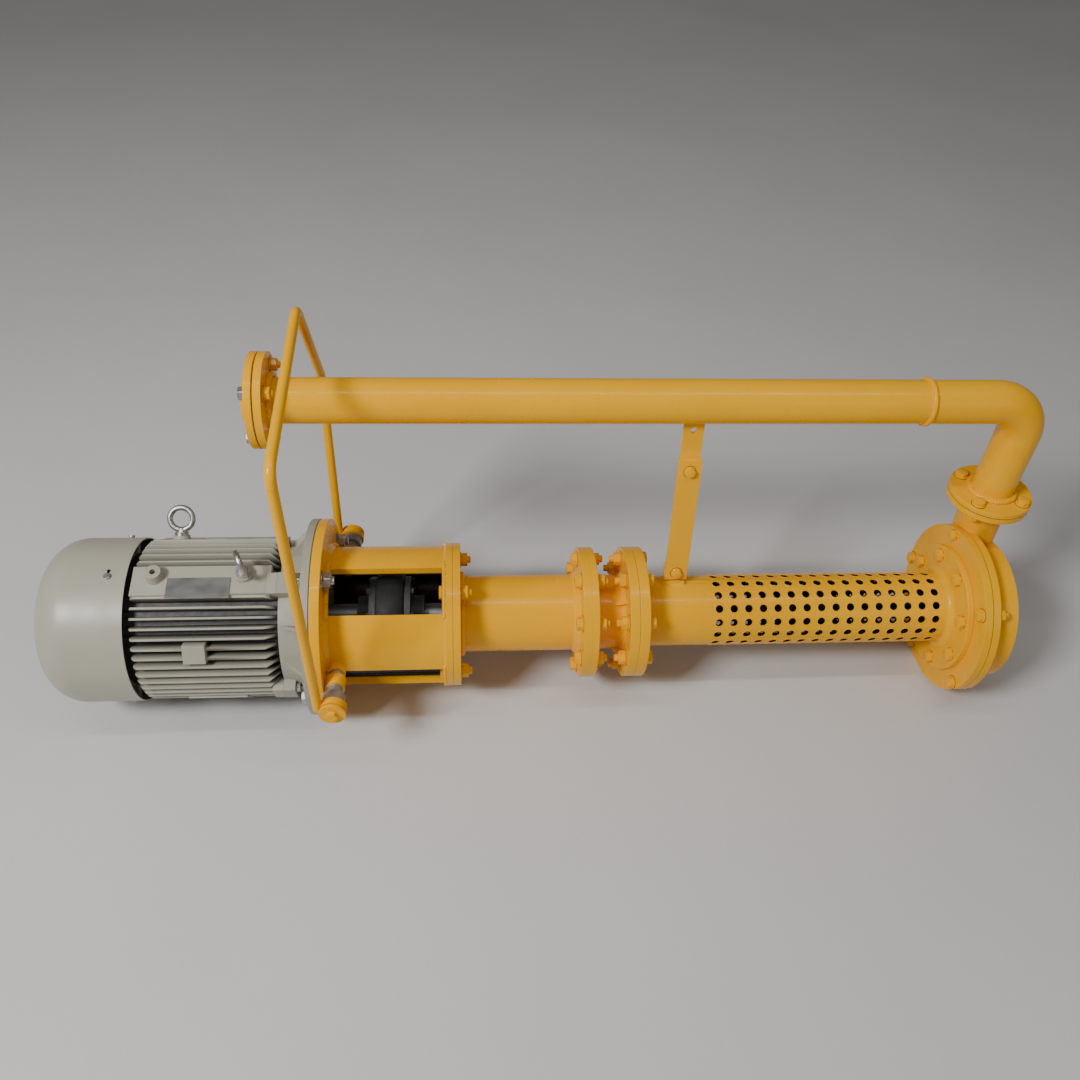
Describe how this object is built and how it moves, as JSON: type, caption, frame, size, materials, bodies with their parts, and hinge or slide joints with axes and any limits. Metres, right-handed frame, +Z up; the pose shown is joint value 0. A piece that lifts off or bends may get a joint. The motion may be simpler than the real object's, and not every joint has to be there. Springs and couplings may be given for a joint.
{
  "type": "bentonite slurry pump",
  "caption": "Long-shaft bentonite slurry pump lying on its side: finned motor, open stool, bearing housing, perforated strainer column, volute, discharge pipe and swinging lifting bail.",
  "frame": {"origin": "centre of the suction mouth, on the pump axis", "axes": "+X runs along the pump axis from the motor out of the suction mouth, +Z is up as the pump lies, +Y points to the side with the discharge pipe"},
  "size_m": [1.7338, 0.4948, 0.7237],
  "materials": {
    "yellow_paint": "gloss enamel, warm yellow",
    "motor_paint": "satin light grey paint",
    "zinc_steel": "zinc plated",
    "bright_steel": "machined",
    "dark_iron": "dark cast iron",
    "black_rubber": "matt rubber",
    "lamination": "stacked electrical steel",
    "copper_winding": "varnished copper winding",
    "bronze": "machined bronze",
    "plate_metal": "blank satin plate",
    "black_plastic": "matt black plastic"
  },
  "bodies": {
    "pump_unit": {"motor_frame": "motor_paint", "drive_end_shield": "motor_paint", "fan_end_shield": "motor_paint", "shield_screws": "zinc_steel", "fan_cowl": "motor_paint", "cowl_screws": "zinc_steel", "stator_core": "lamination", "stator_windings": "copper_winding", "motor_bearings": "bright_steel", "eye_bolts": "zinc_steel", "rating_plate": "plate_metal", "terminal_box": "motor_paint", "terminal_box_lid": "motor_paint", "lid_screws": "zinc_steel", "cable_gland": "black_plastic", "stool_motor_flange": "yellow_paint", "stool_arms": "yellow_paint", "stool_end_flange": "yellow_paint", "motor_bolts": "zinc_steel", "stool_bolts": "yellow_paint", "bearing_housing": "yellow_paint", "pump_bearings": "bright_steel", "bearing_covers": "yellow_paint", "cover_screws": "zinc_steel", "shaft_seals": "black_rubber", "neck_spool": "yellow_paint", "housing_bolts": "yellow_paint", "neck_bolts": "yellow_paint", "strainer_column": "yellow_paint", "column_screws": "yellow_paint", "casing_plate": "yellow_paint", "throat_bush": "bronze", "casing_gasket": "black_rubber", "volute_casing": "yellow_paint", "casing_bolts_nuts": "yellow_paint", "suction_cover": "yellow_paint", "suction_screws": "yellow_paint", "discharge_elbow": "yellow_paint", "elbow_gasket": "black_rubber", "elbow_bolts": "yellow_paint", "discharge_pipe": "yellow_paint", "pipe_tab": "yellow_paint", "outlet_flange": "yellow_paint", "outlet_gasket": "black_rubber", "outlet_bolts": "zinc_steel", "support_strap": "yellow_paint", "strap_bolts": "yellow_paint", "pivot_pins": "yellow_paint", "pivot_spacers": "zinc_steel"},
    "rotor": {"motor_shaft": "bright_steel", "motor_rotor": "lamination", "cooling_fan": "black_plastic", "coupling_motor_half": "dark_iron", "coupling_tyre": "black_rubber", "coupling_pump_half": "dark_iron", "coupling_screws": "zinc_steel", "pump_shaft": "bright_steel", "impeller": "dark_iron", "impeller_nut": "bright_steel"},
    "bail": {"lifting_bail": "yellow_paint"}
  },
  "joints": [
    {"name": "rotor_spin", "type": "hinge", "parent": "pump_unit", "child": "rotor", "pos_m": [-1, 0, 0], "axis": [1, 0, 0], "continuous": true},
    {"name": "bail_swing", "type": "hinge", "parent": "pump_unit", "child": "bail", "pos_m": [-1.2347, 0, 0], "axis": [0, 1, 0], "range_deg": [-105, 30]}
  ]
}
